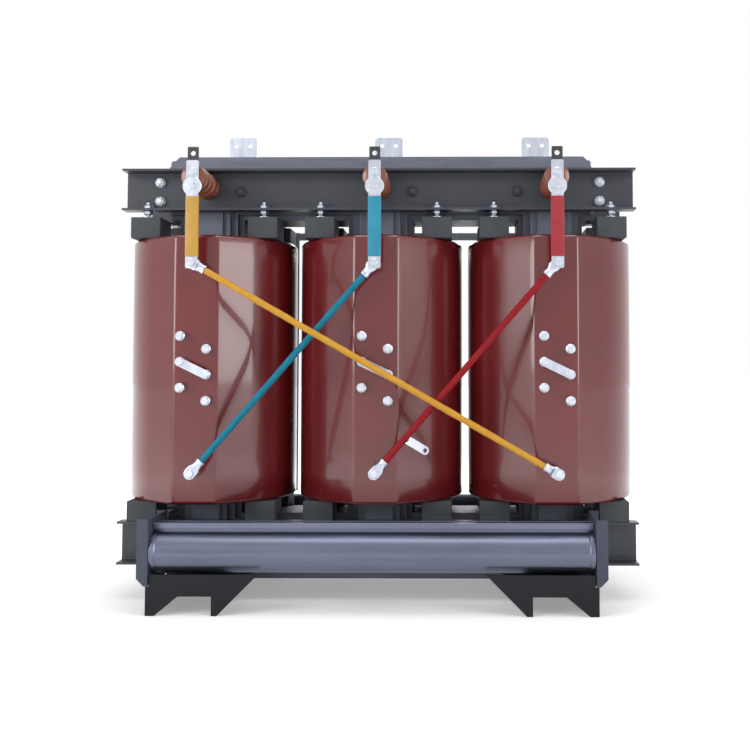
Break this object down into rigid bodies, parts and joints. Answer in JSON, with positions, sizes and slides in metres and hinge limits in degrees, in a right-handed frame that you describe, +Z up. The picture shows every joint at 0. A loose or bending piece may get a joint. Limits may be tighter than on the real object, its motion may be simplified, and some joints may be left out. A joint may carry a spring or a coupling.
{
  "type": "dry type transformer",
  "caption": "Cast-resin dry type transformer with stepped core, clamps, delta links, tap fields, LV busbars, cooling fans and feet.",
  "frame": {"origin": "on the ground at the centre of the base", "axes": "+X along the core to the right, high-voltage side faces -Y, +Z up"},
  "size_m": [1.482, 0.701, 1.42],
  "materials": {
    "core_steel": "semi-matt varnish",
    "clamp_paint": "satin paint",
    "zinc": "zinc plated",
    "pressboard": "matt",
    "lv_resin": "satin resin",
    "coil_resin": "glossy cast resin",
    "pad": "matt moulded",
    "post_resin": "glossy cast resin",
    "tinned_copper": "tinned",
    "dark_tab": "satin",
    "sleeve_yellow": "shrunk sleeve",
    "sleeve_blue": "shrunk sleeve",
    "sleeve_red": "shrunk sleeve",
    "fan_paint": "satin powder coat",
    "foot_paint": "satin paint"
  },
  "bodies": {
    "root": {"bar_sleeve_blue": "sleeve_blue", "bar_sleeve_red": "sleeve_red", "bar_sleeve_yellow": "sleeve_yellow", "bottom_support_pads": "pad", "clamp_bolts": "zinc", "clamp_lower_front": "clamp_paint", "clamp_lower_rear": "clamp_paint", "clamp_upper_front": "clamp_paint", "clamp_upper_rear": "clamp_paint", "core_bottom_yoke": "core_steel", "core_limb_left": "core_steel", "core_limb_middle": "core_steel", "core_limb_right": "core_steel", "core_top_yoke": "core_steel", "delta_link_blue": "sleeve_blue", "delta_link_red": "sleeve_red", "delta_link_yellow": "sleeve_yellow", "delta_lugs": "tinned_copper", "fan_front_bracket_left": "fan_paint", "fan_front_bracket_right": "fan_paint", "fan_front_housing": "fan_paint", "fan_front_motor": "fan_paint", "fan_rear_bracket_left": "fan_paint", "fan_rear_bracket_right": "fan_paint", "fan_rear_housing": "fan_paint", "fan_rear_motor": "fan_paint", "foot_left": "foot_paint", "foot_right": "foot_paint", "hv_bar_left": "tinned_copper", "hv_bar_middle": "tinned_copper", "hv_bar_right": "tinned_copper", "hv_coil_left": "coil_resin", "hv_coil_middle": "coil_resin", "hv_coil_right": "coil_resin", "hv_post_bolts": "zinc", "hv_post_left": "post_resin", "hv_post_middle": "post_resin", "hv_post_right": "post_resin", "hv_tab_left": "dark_tab", "hv_tab_middle": "dark_tab", "hv_tab_right": "dark_tab", "hv_terminal_studs": "zinc", "lv_coil_left": "lv_resin", "lv_coil_middle": "lv_resin", "lv_coil_right": "lv_resin", "lv_neutral_bar": "tinned_copper", "lv_post_left": "post_resin", "lv_post_middle": "post_resin", "lv_post_right": "post_resin", "lv_riser_left": "tinned_copper", "lv_riser_middle": "tinned_copper", "lv_riser_right": "tinned_copper", "lv_start_riser_left": "tinned_copper", "lv_start_riser_middle": "tinned_copper", "lv_start_riser_right": "tinned_copper", "pressure_studs": "zinc", "tap_links": "tinned_copper", "tap_studs": "zinc", "top_support_pads": "pad", "yoke_press_boards": "pressboard"}
  },
  "joints": []
}
